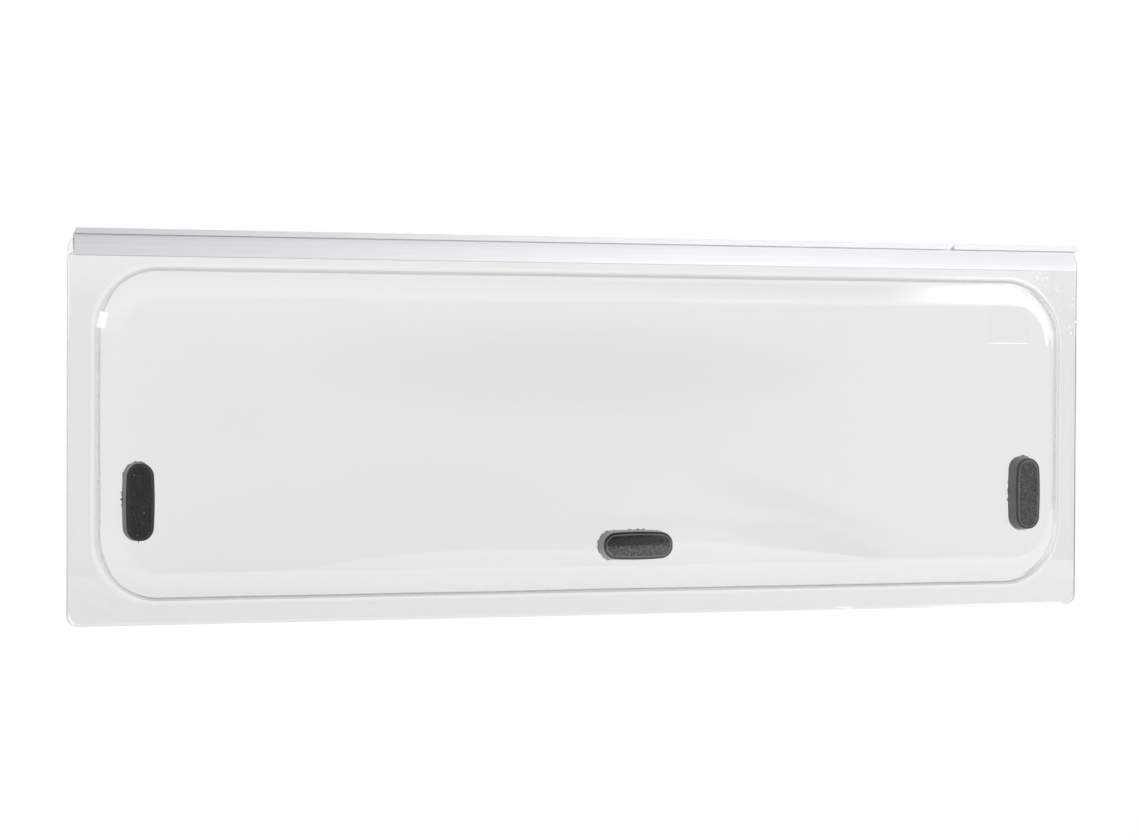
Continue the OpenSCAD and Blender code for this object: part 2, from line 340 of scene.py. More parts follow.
def inner_pane_mesh():
    """The flat sheet, its faces very slightly uneven, as extruded sheet is."""
    middle_w, middle_h = PANE_W - 2 * PANE_R, INNER_H - 2 * PANE_R

    def uneven(x, z):
        wave = 0.03 * (1 + 0.6 * np.sin(x / 90 + z / 60) + 0.4 * np.sin(x / 45 - z / 33 + 1.3))
        inside = ease((middle_w / 2 - np.abs(x)) / 60) * ease((middle_h / 2 - np.abs(z - INNER_MID[1])) / 40)
        return wave * inside

    outlines = [ring(PANE_W - 2 * inset, INNER_H - 2 * inset, PANE_R - inset, INNER_MID, *STEPS)
                for inset in (3, 7, 10.5)]
    front = [at_depth(outline, INNER_DEPTH) for outline in outlines]
    rear = [at_depth(outline, 0.0) for outline in outlines]
    edge = pane_edge(INNER_H, INNER_MID, INNER_DEPTH, 0)
    rows = front[::-1] + edge + rear
    points, faces = shell(rows, middle_w, middle_h, INNER_MID, STEPS,
                          lambda x, z: INNER_DEPTH - uneven(x, z), uneven)
    marks = mark_strips(len(rows[0]), faces, (len(front), len(front) + len(edge) - 1, 1))
    return paint_edge_light(points, faces, marks, 2)


# Materials


def linear(hex_colour):
    """An sRGB hex colour as Blender's linear one."""
    parts = [int(hex_colour[i:i + 2], 16) / 255 for i in (1, 3, 5)]
    return tuple(c / 12.92 if c <= 0.04045 else ((c + 0.055) / 1.055) ** 2.4 for c in parts) + (1.0,)


def add(tree, kind, sockets=(), **settings):
    """Adds a node of a kind, or for a kind in capitals the Math node of that operation. Settings
    are the node's own choices. Each socket, by name or in order, takes a value, an output, or a
    node, which stands for its first output in use. In order, Map Range takes the value, from
    which low to which high one, and to which low and high one."""
    if kind.isupper():
        kind, settings = "Math", {"operation": kind}
    made = tree.nodes.new("ShaderNode" + kind)
    for name, value in settings.items():
        setattr(made, name, value)
    for name, value in sockets.items() if isinstance(sockets, dict) else enumerate(sockets):
        if isinstance(value, bpy.types.Node):
            value = next(output for output in value.outputs if output.enabled)
        if isinstance(value, bpy.types.NodeSocket):
            tree.links.new(value, made.inputs[name])
        else:
            made.inputs[name].default_value = value
    return made


def new_material(name):
    material = bpy.data.materials.new(name)
    material.use_nodes = True
    tree = material.node_tree
    tree.nodes.clear()
    place = add(tree, "TexCoord").outputs["Object"]
    return material, tree, place


def finished(material, shader):
    add(material.node_tree, "OutputMaterial", {"Surface": shader})
    return material


# Settings of nodes that come again and again
COLOURS = {"data_type": "RGBA"}
NUMBERS = {"data_type": "FLOAT"}
SOFT = {"interpolation_type": "SMOOTHSTEP"}
# What passes light, and the index of refraction of PMMA
CLEAR = {"Transmission Weight": 1.0}
PMMA = 1.49


def clouded(name, low, high, size, detail, sockets, bump=None):
    """A finish whose colour wanders between two tones in clouds of a size in millimetres, which
    also roughen it where a bump's strength and its depth in millimetres are given."""
    material, tree, place = new_material(name)
    cloud = add(tree, "TexNoise", {"Vector": place, "Scale": 1 / (size * MM), "Detail": detail})
    tone = add(tree, "Mix", {"Factor": cloud, "A": linear(low), "B": linear(high)}, **COLOURS)
    sockets = {"Base Color": tone, **sockets}
    if bump:
        strength, depth = bump
        sockets["Normal"] = add(tree, "Bump", {"Height": cloud, "Strength": strength, "Distance": depth * MM})
    return finished(material, add(tree, "BsdfPrincipled", sockets))


def acrylic_sheet():
    """Clear PMMA sheet: the faint grey of its thickness, two glossy faces, and pale grains of the
    dust that charged plastic draws, thicker towards the upper right corner."""
    material, tree, place = new_material("clear_acrylic_sheet")
    clear = add(tree, "BsdfPrincipled", {
        "Base Color": linear("#f8f8f8"), "Roughness": 0.0, "IOR": PMMA, **CLEAR})
    dust = add(tree, "BsdfDiffuse", {"Color": linear("#ffffff")})
    x, y, z = add(tree, "SeparateXYZ", [place]).outputs
    thick = add(tree, "MapRange", (add(tree, "ADD", (x, z)), 0.61, 0.68, 0.0, 0.18))
    few = add(tree, "TexVoronoi", {"Vector": place, "Scale": 1 / (21 * MM)})
    many = add(tree, "TexVoronoi", {"Vector": place, "Scale": 1 / (5.2 * MM)})
    # The grains lie on the outdoor face of the flange, and on nothing further in
    outdoors = add(tree, "LESS_THAN", (y, -(FLANGE_DEPTH - 0.3) * MM))
    grains = add(tree, "MULTIPLY", (add(tree, "LESS_THAN", (many, thick)), outdoors))
    dusty = add(tree, "MAXIMUM", (add(tree, "LESS_THAN", (few, 0.013)), grains))
    return finished(material, add(tree, "MixShader", (dusty, clear, dust)))


def wetted_acrylic():
    """PMMA where clear adhesive wets it: the face all but vanishes, and the bend works as a prism
    that shows the bright backdrop as a pale band along the foot."""
    material, tree, _ = new_material("adhesive_wetted_acrylic")
    sockets = {"Base Color": linear("#fbfbfb"), "Roughness": 0.0, "IOR": 1.02, **CLEAR}
    return finished(material, add(tree, "BsdfPrincipled", sockets))


def ring_mark_and_painted_shade():
    """The mark that the clamping ring leaves in the dome's root: a fine grey line, painted darker
    towards the right as painted shade for the dark line that the steep wall shows there at a glance."""
    material, tree, place = new_material("clamping_ring_mark")
    x = add(tree, "SeparateXYZ", [place]).outputs["X"]
    # Painted shade: the line's grey deepens towards the right
    share = add(tree, "MapRange", (x, 0.42, 0.50, 0.0, 1.0))
    tone = add(tree, "Mix", {"Factor": share, "A": linear("#f6f6f6"), "B": linear("#d2d2d5")}, **COLOURS)
    return finished(material, add(tree, "BsdfPrincipled", {
        "Base Color": tone, "Roughness": 0.02, "IOR": PMMA, **CLEAR}))


def squeezed_bond():
    """Adhesive squeezed out under the dome's root, set clear, with a few bubbles."""
    material, tree, place = new_material("squeezed_bond_adhesive")
    bubbles = add(tree, "TexVoronoi", {"Vector": place, "Scale": 1 / (2.2 * MM)})
    tone = add(tree, "MapRange", (bubbles, 0.0, 0.6, 0.985, 1.0))
    colour = add(tree, "CombineColor", (tone, tone, tone))
    return finished(material, add(tree, "BsdfPrincipled", {
        "Base Color": colour, "Roughness": 0.0, "IOR": 1.03, **CLEAR}))


def bond_lip_and_painted_shade():
    """The rolled edge of the squeezed adhesive: wrinkled and full of fine bubbles. Its grey is painted
    shade for the dark line round the dome: mottled along the left, even elsewhere, darkest along the foot."""
    material, tree, place = new_material("rolled_bond_edge_and_painted_shade")
    bubbles = add(tree, "TexVoronoi", {"Vector": place, "Scale": 1 / (1.5 * MM)})
    cloud = add(tree, "TexNoise", {"Vector": place, "Scale": 1 / (5 * MM), "Detail": 4.0})
    mixed = add(tree, "MULTIPLY", (bubbles, cloud))
    x, _, z = add(tree, "SeparateXYZ", [place]).outputs
    left = add(tree, "MapRange", (x, -0.53, -0.48, 1.0, 0.0))
    mottled = add(tree, "MapRange", (mixed, 0.08, 0.4, 0.84, 1.0))
    # Painted shade, darkest along the foot
    even = add(tree, "MapRange", (z, -0.165, -0.14, 0.66, 0.86))
    tone = add(tree, "Mix", {"Factor": left, "A": even, "B": mottled}, **NUMBERS)
    colour = add(tree, "CombineColor", (tone, tone, tone))
    height = add(tree, "MULTIPLY", (mixed, left))
    bump = add(tree, "Bump", {"Height": height, "Strength": 0.5, "Distance": 0.3 * MM})
    return finished(material, add(tree, "BsdfPrincipled", {
        "Base Color": colour, "Roughness": 0.25, "Transmission Weight": 0.9, "IOR": 1.46, "Normal": bump}))


def extruded_aluminium():
    """Aluminium as it leaves the extrusion die and a thin clear anodising bath: satin, with faint
    lines along its length, about 0.3 to 2 mm apart. The hook is painted darker, as painted shade."""
    material, tree, place = new_material("extruded_anodised_aluminium")
    along = add(tree, "Mapping", {"Vector": place, "Scale": (0.004, 1.0, 1.0)})
    fine = add(tree, "TexNoise", {"Vector": along, "Scale": 1 / (0.55 * MM), "Detail": 3.0, "Roughness": 0.6})
    broad = add(tree, "TexNoise", {"Vector": along, "Scale": 1 / (3.2 * MM), "Detail": 2.0})
    tone = add(tree, "Mix", {"Factor": broad, "A": linear("#e6e7eb"), "B": linear("#f6f6f9")}, **COLOURS)
    z = add(tree, "SeparateXYZ", [place]).outputs["Z"]
    lip = (PANE_TOP + HOOK_FOOT) * MM
    # Painted shade: the hook over the lip's foot is painted a darker tone
    hook_painted_shade = add(tree, "MapRange", (z, lip - 0.15 * MM, lip + 0.45 * MM, 0.0, 1.0))
    tone = add(tree, "Mix", {"Factor": hook_painted_shade, "A": tone, "B": linear("#e4e5e8")}, **COLOURS)
    rough = add(tree, "MapRange", (fine, 0.3, 0.7, 0.30, 0.42))
    strength = add(tree, "MapRange", (z, lip - 0.35 * MM, lip + 0.25 * MM, 0.2, 0.02))
    bump = add(tree, "Bump", {"Height": fine, "Strength": strength, "Distance": 0.04 * MM})
    return finished(material, add(tree, "BsdfPrincipled", {
        "Base Color": tone, "Metallic": 0.3, "Roughness": rough, "Normal": bump}))


def sawn_aluminium():
    """The rail's sawn ends and its notch: bright, with arcs of saw marks half a millimetre apart."""
    material, tree, place = new_material("sawn_aluminium")
    marks = add(tree, "TexWave", {"Vector": place, "Scale": 1 / (3.4 * MM), "Distortion": 2.0},
                bands_direction="DIAGONAL").outputs["Fac"]
    bump = add(tree, "Bump", {"Height": marks, "Strength": 0.4, "Distance": 0.05 * MM})
    tone = add(tree, "Mix", {"Factor": marks, "A": linear("#c4c5c8"), "B": linear("#e4e4e6")}, **COLOURS)
    return finished(material, add(tree, "BsdfPrincipled", {
        "Base Color": tone, "Metallic": 1.0, "Roughness": 0.36, "Normal": bump}))


def lying_share(tree, x):
    """1 on the lying block, near the middle of the window, and 0 on the standing ones."""
    return add(tree, "MapRange", (add(tree, "ABSOLUTE", [x]), 0.15, 0.25, 1.0, 0.0))


def black_abs_and_painted_sheen():
    """Black ABS from a spark-eroded mould: matt, with a grain of about 0.4 mm, drawn coarser here
    so that it shows, and a few specks of dust. Its mid grey is painted sheen for the backdrop that the sides
    catch at a glance."""
    material, tree, place = new_material("moulded_black_abs_and_painted_sheen")
    grain = add(tree, "TexNoise", {"Vector": place, "Scale": 1 / (0.9 * MM), "Detail": 4.0, "Roughness": 0.7})
    cloud = add(tree, "TexNoise", {"Vector": place, "Scale": 1 / (11 * MM), "Detail": 3.0})
    dust = add(tree, "TexVoronoi", {"Vector": place, "Scale": 1 / (7 * MM)})
    speck = add(tree, "LESS_THAN", (dust, 0.06))
    tone = add(tree, "Mix", {"Factor": cloud, "A": linear("#67686c"), "B": linear("#7f8084")}, **COLOURS)
    # The lying block is painted a paler grey than the standing ones, and the left one a little paler: more
    # painted sheen
    x = add(tree, "SeparateXYZ", [place]).outputs["X"]
    left_painted_sheen = add(tree, "MapRange", (x, -0.35, -0.25, 0.16, 0.0))
    pale = add(tree, "MAXIMUM", (lying_share(tree, x), left_painted_sheen))
    tone = add(tree, "Mix", {"Factor": pale, "A": tone, "B": linear("#c6c7ca")}, **COLOURS)
    tone = add(tree, "Mix", {"Factor": speck, "A": tone, "B": linear("#8d8d8f")}, **COLOURS)
    rough = add(tree, "MapRange", (grain, 0.0, 1.0, 0.26, 0.44))
    bump = add(tree, "Bump", {"Height": grain, "Strength": 0.6, "Distance": 0.2 * MM})
    return finished(material, add(tree, "BsdfPrincipled", {
        "Base Color": tone, "Roughness": rough, "IOR": 1.53, "Normal": bump}))


def block_tape():
    """Adhesive between a block and the dome: it wets both, so it shows the black of the block,
    with trapped air as fine pale grains."""
    material, tree, place = new_material("clear_mounting_adhesive")
    air = add(tree, "TexNoise", {"Vector": place, "Scale": 1 / (1.8 * MM), "Detail": 3.0, "Roughness": 0.7})
    air = add(tree, "MapRange", (air, 0.42, 0.66, 0.0, 1.0))
    x, _, z = add(tree, "SeparateXYZ", [place]).outputs
    # Less on the left block, most on the right one; the lying one is painted paler in its lower half and
    # darker in its upper, a painted reflection of the floor
    share = add(tree, "MapRange", (x, -0.45, 0.45, 0.12, 1.0))
    middle = LATCH_BLOCK[1] * MM
    lower_half_painted_reflection = add(tree, "MapRange", (z, middle - 0.9 * MM, middle + 0.7 * MM, 0.52, -0.34))
    share = add(tree, "MULTIPLY_ADD", (lower_half_painted_reflection, lying_share(tree, x), share))
    air = add(tree, "MULTIPLY", (air, share))
    dust = add(tree, "TexVoronoi", {"Vector": place, "Scale": 1 / (6 * MM)})
    speck = add(tree, "LESS_THAN", (dust, 0.062))
    tone = add(tree, "Mix", {"Factor": air, "A": linear("#0f1012"), "B": linear("#808184")}, **COLOURS)
    tone = add(tree, "Mix", {"Factor": speck, "A": tone, "B": linear("#c4c4c4")}, **COLOURS)
    return finished(material, add(tree, "BsdfPrincipled", {
        "Base Color": tone, "Roughness": 0.2, "IOR": 1.45}))


def meniscus_painted_highlight():
    """The round edge of the mounting adhesive, painted as a thin pale line about each block's face: a
    painted highlight, hardly seen on the left block."""
    material, tree, place = new_material("adhesive_meniscus_painted_highlight")
    x = add(tree, "SeparateXYZ", [place]).outputs["X"]
    share = add(tree, "MapRange", (x, -0.45, 0.0, 0.0, 1.0))
    tone = add(tree, "Mix", {"Factor": share, "A": linear("#3a3b3d"), "B": linear("#8c8d90")}, **COLOURS)
    return finished(material, add(tree, "BsdfPrincipled", {
        "Base Color": tone, "Roughness": 0.25, "IOR": 1.47}))


sheet = acrylic_sheet()
# The sheet's sawn and scraped edge: the same PMMA, matt, with fine cutter marks
cut_edge = clouded("scraped_acrylic_edge", "#f4f4f4", "#fefefe", 0.9, 3.0,
                   {"Roughness": 0.08, "IOR": PMMA, **CLEAR}, bump=(0.25, 0.1))
# The left half of that edge, painted matt white: painted light, so that it is as bright as the
# pane beside it
edge_painted_light = clouded("acrylic_edge_painted_light", "#f6f6f6", "#ffffff", 0.9, 3.0,
                     {"Roughness": 0.55, "IOR": PMMA})
wetted = wetted_acrylic()
root_mark_and_shade = ring_mark_and_painted_shade()
# Adhesive that wets both flanges, so that its own faces hardly reflect
film = clouded("clear_bond_film", "#f8f8f8", "#fefefe", 9, 4.0, {"Roughness": 0.02, "IOR": 1.04, **CLEAR})
squeezed = squeezed_bond()
bond_edge = bond_lip_and_painted_shade()
aluminium = extruded_aluminium()
sawn = sawn_aluminium()
black_abs = black_abs_and_painted_sheen()
# The same ABS where the adhesive has wetted it: smoother, and truly black
wet_abs = clouded("wetted_black_abs", "#18191b", "#262729", 11, 3.0, {"Roughness": 0.3, "IOR": 1.5})
tape = block_tape()
meniscus = meniscus_painted_highlight()
# Clear self-adhesive film, left bare: a little cloudier than the pane under it
label = clouded("clear_label_film", "#fdfdfd", "#ffffff", 3, 5.0, {"Roughness": 0.04, "IOR": 1.09, **CLEAR})
# Light grey neutral-cure silicone, run in and left, with a soft skin
silicone = clouded("light_grey_silicone", "#c3c5c4", "#dcdddc", 5, 3.0, {"Roughness": 0.48, "IOR": 1.41},
                   bump=(0.4, 0.3))

# Panes

mesh_piece("blown_outer_pane", outer_pane_mesh(), [sheet, cut_edge, wetted, root_mark_and_shade, edge_painted_light],
           "clear_acrylic", "outer_pane")
mesh_piece("flat_inner_pane", inner_pane_mesh(), [sheet, cut_edge, edge_painted_light], "clear_acrylic", "inner_pane")

# Bond


def bond_film_mesh():
    """The thin film between the flanges, set back from the panes' edge and from the dome's root."""
    from_edge, from_root = 1.0, 0.5
    outer = ring(PANE_W - 2 * from_edge, INNER_H - 2 * from_edge, PANE_R - from_edge, INNER_MID, *STEPS)
    inner = ring(DOME_W + 2 * from_root, DOME_H + 2 * from_root, DOME_R + from_root, DOME_MID, *STEPS)
    top, bottom = BOND_TOP - AIR, INNER_DEPTH + AIR
    rows = [at_depth(outer, top), at_depth(inner, top), at_depth(inner, bottom), at_depth(outer, bottom)]
    return np.vstack(rows), join_rings(len(outer), 4, closed=True)


def squeezed_bond_mesh():
    """The fillet under the dome's root. Its edge on the inner pane wanders, and rolls over in a
    narrow lip, wide along the left and the foot and narrow along the top."""
    outline = ring(DOME_W, DOME_H, DOME_R, DOME_MID, *BOND_STEPS)
    inward = (ring(DOME_W - 20, DOME_H - 20, DOME_R - 10, DOME_MID, *BOND_STEPS) - outline) / 10
    count = len(outline)
    s = np.cumsum(np.hypot(*(outline - np.roll(outline, 1, axis=0)).T))
    round_trip = s / s[-1] * 2 * np.pi

    def wander(waves, amount):
        """Waves of random phase and height, each so many times round the dome."""
        total = np.zeros(count)
        for n in waves:
            total += np.sin(n * round_trip + rng.uniform(0, 6.28)) * rng.uniform(0.5, 1)
        return total * amount / np.sqrt(len(waves))

    rough_left = 0.03 + 0.97 * ease(inward[:, 0])
    right = ease(-inward[:, 0] * 3 - 1.9)
    left = ease(inward[:, 0] * 3 - 1.9)
    width = (SQUEEZED_W + SQUEEZED_LEFT * left + SQUEEZED_RIGHT * right
             + wander((5, 9, 14), 0.2) + wander((160, 233, 321, 410, 523), 0.32) * rough_left)
    lip = (LIP_W + LIP_LEFT * left + LIP_RIGHT * right + LIP_FOOT * ease(inward[:, 1])
           + wander((6, 11, 37), 0.08) + wander((190, 260, 340), 0.25) * rough_left)
    neck = width - lip
    bend_r = ROOT_R + OUTER_T

    def under_sheet(inset):
        """A ring against the sheet's bend at an inset."""
        angle = np.arcsin(np.clip((inset - ROOT_INSET) / bend_r, 0, 0.76))
        return at_depth(outline + inward * inset[:, None], BOND_TOP + bend_r * (1 - np.cos(angle)) - AIR)

    def on_inner(inset, height=0.0):
        """A ring on the inner pane, or so high over it."""
        return at_depth(outline + inward * inset[:, None], INNER_DEPTH + AIR + height)

    rows = [under_sheet(neck * 0.62 * t) for t in (0, 0.35, 0.7, 1)]
    # The face sags from the bend to the lip's root, then the lip rolls down to the inner pane
    sag = rows[-1] + (on_inner(neck) - rows[-1]) * 0.55
    sag[:, 1] = np.maximum(sag[:, 1] - 0.25, INNER_DEPTH + 2 * AIR)
    rows.append(sag)
    first_lip = len(rows)
    for t, height in ((0.0, 0.22), (0.25, 0.30), (0.55, 0.29), (0.8, 0.19), (1.0, 0.0)):
        rows.append(on_inner(neck + lip * t, height))
    rows += [on_inner(neck * 0.5), on_inner(np.zeros(count))]
    faces = join_rings(count, len(rows), closed=True)
    # The lip's strips take the painted shade of the dark line
    return np.vstack(rows), faces, mark_strips(count, faces, (first_lip, first_lip + 5, 1))


mesh_piece("bond_film", bond_film_mesh(), [film], "clear_bond", "pane_bond")
mesh_piece("squeezed_bond", squeezed_bond_mesh(), [squeezed, bond_edge], "clear_bond", "pane_bond")

# Rail


def soften(corners, steps=5):
    """A section's corners, each (depth, height, radius), with their radii drawn as arcs. A point
    just past each arc keeps the flat beside it flat."""
    run = []
    count = len(corners)
    past = 0.06
    for i, (x, y, r) in enumerate(corners):
        here = np.array([x, y])
        if r <= 0:
            run.append(here)
            continue
        before, after = np.array(corners[i - 1][:2]), np.array(corners[(i + 1) % count][:2])
        u = (before - here) / np.linalg.norm(before - here)
        v = (after - here) / np.linalg.norm(after - here)
        half = math.acos(np.clip(u @ v, -1, 1)) / 2
        reach = r / math.tan(half)
        middle = here + (u + v) / np.linalg.norm(u + v) * r / math.sin(half)
        a, b = here + u * reach - middle, here + v * reach - middle
        start, turn = math.atan2(a[1], a[0]), math.atan2(b[1], b[0]) - math.atan2(a[1], a[0])
        turn = (turn + math.pi) % (2 * math.pi) - math.pi
        run.append(here + u * (reach + past))
        for k in range(steps + 1):
            angle = start + turn * k / steps
            run.append(middle + r * np.array([math.cos(angle), math.sin(angle)]))
        run.append(here + v * (reach + past))
    return np.array(run)


def slot_section():
    """The rail's slot and its bead, without the hook."""
    lower = [(6.1, -18.3, 0.2), (7.0, -18.3, 0.25), (7.7, -17.5, 0.3)]
    bead = [(7.7 + 1.5 * math.cos(a), 1.45 + 1.5 * math.sin(a), 0)
            for a in np.radians(np.linspace(-82, 143, 18))]
    rest = [(0.9, 2.1, 0.5), (0.9, -13.0, 0.35), (2.5, -13.0, 0.35), (2.5, 0.5, 0.3), (6.1, 0.5, 0.3)]
    return soften(lower + [(7.7, -0.6, 0)] + bead + rest)


def hook_section():
    """The hook: its web rises forward from the slot's roof to the lip."""
    return soften([(1.5, 1.3, 0), (0.95, 2.1, 0.5), (15.9, 9.0, 0.55), (15.9, HOOK_FOOT, 0.6),
                   (14.1, HOOK_FOOT, 0.6), (14.1, 6.19, 0.6), (5.2, 2.1, 0.6), (5.0, 1.3, 0)])


def rail_mesh():
    points, faces, ends = [], [], []
    for section, left, right in ((slot_section(), RAIL_LEFT, RAIL_RIGHT),
                                 (hook_section(), RAIL_LEFT, NOTCH_LEFT),
                                 (hook_section(), NOTCH_RIGHT, RAIL_RIGHT)):
        first = len(points)
        stations = np.linspace(left, right, max(2, int((right - left) / 60)))
        points += [(x, depth, PANE_TOP + height) for x in stations for depth, height in section]
        run = join_rings(len(section), len(stations), capped=True)
        faces += [[first + p for p in face] for face in run]
        ends += [0] * (len(run) - 2) + [1, 1]
    return points, faces, ends


def sealant_mesh():
    """Sealant run round the pane's top edge, inside the rail, with a slightly swelling foot."""
    xs = np.linspace(RAIL_LEFT + 0.6, RAIL_RIGHT - 0.6, 280)
    points = []
    for x in xs:
        swell = 0.25 * math.sin(x / 17) + 0.15 * math.sin(x / 6.3 + 1)
        section = [(6.08, -12.9 + swell), (6.08, 0.48), (2.52, 0.48), (2.52, -12.6 - swell),
                   (2.78, -12.9 - swell), (2.78, 0.04), (5.82, 0.04), (5.82, -13.0 + swell)]
        points += [(x, depth, PANE_TOP + height) for depth, height in section]
    return points, join_rings(len(section), len(xs), capped=True)


mesh_piece("hook_rail", rail_mesh(), [aluminium, sawn], "mill_aluminium", "hinge_rail", smooth_below=28)
mesh_piece("slot_sealant", sealant_mesh(), [silicone], "sealant", "rail_sealant")

# Blocks


def block_outline(inset, mid, upright):
    """A block's outline: a rounded rectangle with swelling sides, lying along X or upright."""
    a, b = BLOCK_LEN / 2 - END_BOW - inset, BLOCK_W / 2 - SIDE_BOW - inset
    x, z = ring(2 * a, 2 * b, BLOCK_R - inset, (0, 0), 66, 12, 16).T
    x, z = x * (1 + END_BOW / a * (1 - (z / b) ** 2)), z * (1 + SIDE_BOW / b * (1 - (x / a) ** 2))
    return np.column_stack([-z, x] if upright else [x, z]) + np.array(mid)


def block_mesh(mid, upright, face_depth, spread, drip):
    """A moulded block: a rounded rim, sides that spread towards the base, and round the parting
    line at the base torn flash, most of it on the left and the top. The left block has one drip."""
    height = face_depth - INNER_DEPTH
    section = [(RIM_W + 6, 0.0), (RIM_W + 0.4, 0.0)]
    for a in np.radians(np.linspace(0, 90, 9)):
        section.append((RIM_W * (1 - math.sin(a)), RIM_D * (1 - math.cos(a))))
    rim_strips = len(section) - 1
    draft = DRAFT + spread
    for t in (0.1, 0.4, 0.7, 0.88):
        section.append((-draft * t, RIM_D + (height - RIM_D) * t))
    section += [(-draft * 0.95, height - 0.8), (-draft, height - 0.4), (-draft, height - AIR)]
    rows = [at_depth(block_outline(inset, mid, upright), face_depth - drop) for inset, drop in section]
    count = len(rows[0])
    faces = join_rings(count, len(rows), capped=True)
    flash = rows[-3:-1]
    edge = flash[-1][:, [0, 2]] - np.array(mid)
    away = edge / np.linalg.norm(edge, axis=1)[:, None]
    straight = np.abs(away).max(axis=1) > 0.8
    left_or_top = (away[:, 0] < -0.8) | (away[:, 1] > 0.8)
    torn = np.zeros(count)
    for i in rng.choice(np.flatnonzero(straight & left_or_top), TORN_POINTS, replace=False):
        torn[i] = rng.uniform(TORN_LEAST, TORN_MOST)
    if drip:
        torn[np.argmin(np.hypot(*(edge - DRIP_AT).T))] = DRIP
    torn = np.maximum(torn, 0.45 * np.maximum(np.roll(torn, 1), np.roll(torn, -1)))
    for row in flash:
        row[:, [0, 2]] += away * torn[:, None]
    # The face and its rim, wetted by the adhesive, stay truly black; the sides carry the painted sheen
    marks = mark_strips(count, faces, (0, rim_strips, 1))
    marks[-2] = 1
    return np.vstack(rows), faces, marks


def tape_mesh(mid, upright, face_depth):
    """The adhesive, from the block's face to the dome, whose waves it follows, and with a round
    meniscus at its edge."""
    rows = []
    for inset, lift in ((5, 1), (1.5, 1), (1.0, 0.9), (0.6, 0.65), (0.35, 0.3), (0.25, 0), (5, 0)):
        outline = block_outline(RIM_W + inset, mid, upright)
        top = crown_rear(*outline.T) - AIR
        rows.append(at_depth(outline, face_depth + (top - face_depth) * lift))
    count = len(rows[0])
    faces = join_rings(count, len(rows), capped=True)
    # The meniscus's strips take the painted highlight
    return np.vstack(rows), faces, mark_strips(count, faces, (1, 5, 1))


for name, mid, upright, face_depth, spread in (("left_stay", LEFT_BLOCK, True, 18.7, 0.2),
                                               ("right_stay", RIGHT_BLOCK, True, 18.7, 1.6),
                                               ("latch", LATCH_BLOCK, False, 18.0, 0.9)):
    side = name.replace("_stay", "")
    mesh_piece(name + "_spacer", block_mesh(mid, upright, face_depth, spread, name == "left_stay"),
               [black_abs, wet_abs], "black_plastic", name + "_block")
    mesh_piece(side + "_spacer_film", tape_mesh(mid, upright, face_depth), [tape, meniscus],
               "block_adhesive", side + "_block_adhesive")

# Label


def label_mesh():
    """The bare film, laid on the dome and following its waves, its outer edge softened."""
    def film_depth(lift):
        return lambda x, z: crown_front(x, z) + lift

    rows = []
    for inset, r, lift in ((1.6, 0.1, LABEL_T), (0.06, 1.64, LABEL_T), (0, 1.5, LABEL_T - 0.04),
                           (0, 1.5, AIR), (1.6, 0.1, AIR)):
        outline = ring(LABEL_W - 2 * inset, LABEL_H - 2 * inset, r, LABEL_MID, *LABEL_STEPS)
        rows.append(at_depth(outline, film_depth(lift)(*outline.T)))
    return shell(rows, LABEL_W - 2 * LABEL_R, LABEL_H - 2 * LABEL_R, LABEL_MID, LABEL_STEPS,
                 film_depth(LABEL_T), film_depth(AIR))


mesh_piece("bare_label", label_mesh(), [label], "label_film", "blank_label")

# Studio


def white_to_the_eye():
    """The white sweep: pure white to the camera, a little shaded close behind the window where the
    panes show it, dimmer to the left in gloss, and a white matt surface to the light."""
    material, tree, place = new_material("white_paper_sweep")
    path = add(tree, "LightPath").outputs
    x, y, _ = add(tree, "SeparateXYZ", [place]).outputs
    behind = add(tree, "MapRange", (y, 0.0, 1.5, 0.935, 1.0), **SOFT)
    before = add(tree, "MapRange", (y, -0.5, -0.05, 1.0, 0.935), **SOFT)
    shaded = add(tree, "MAXIMUM", (behind, before))
    in_gloss = add(tree, "MapRange", (x, -0.5, 0.75, 0.55, 1.1))
    turned = add(tree, "GREATER_THAN", (path["Glossy Depth"], 0.5))
    level = add(tree, "Mix", {"Factor": path["Is Transmission Ray"], "A": 1.0, "B": shaded}, **NUMBERS)
    level = add(tree, "Mix", {"Factor": turned, "A": level, "B": in_gloss}, **NUMBERS)
    seen = add(tree, "MAXIMUM", (path["Is Camera Ray"], path["Is Transmission Ray"]))
    seen = add(tree, "MAXIMUM", (seen, path["Is Glossy Ray"]))
    matt = add(tree, "BsdfDiffuse", {"Color": linear("#f2f2f2")})
    glow = add(tree, "Emission", {"Color": linear("#ffffff"), "Strength": level})
    return finished(material, add(tree, "MixShader", (seen, matt, glow)))


def floor_piece():
    half, front, back, gap = 3.0, -0.75, 3.0, 0.0002
    height = -PANE_TOP * MM - gap
    mesh = bpy.data.meshes.new("floor")
    corners = ((-half, front), (half, front), (half, back), (-half, back))
    mesh.from_pydata([(x, y, height) for x, y in corners], [], [(0, 1, 2, 3)])
    mesh.materials.append(white_to_the_eye())
    piece = bpy.data.objects.new("floor", mesh)
    bpy.context.scene.collection.objects.link(piece)


# Soft dark shapes in the room that the panes reflect: X, Z, half width, half height, lean and
# how dark each is, along the directions of the studio
ROOM_SHAPES = (
    (0.340, 0.000, 0.070, 0.012, 0.0, 0.27),
    (0.315, -0.012, 0.085, 0.034, 0.0, 0.13),
    (0.292, -0.064, 0.075, 0.032, 0.0, 0.23),
    (0.362, -0.066, 0.022, 0.014, 0.0, 0.25),
    (0.410, -0.047, 0.028, 0.007, -0.47, 0.24),
    (0.404, -0.072, 0.022, 0.013, 0.0, 0.50),
    (0.228, -0.030, 0.030, 0.045, 0.0, 0.09))


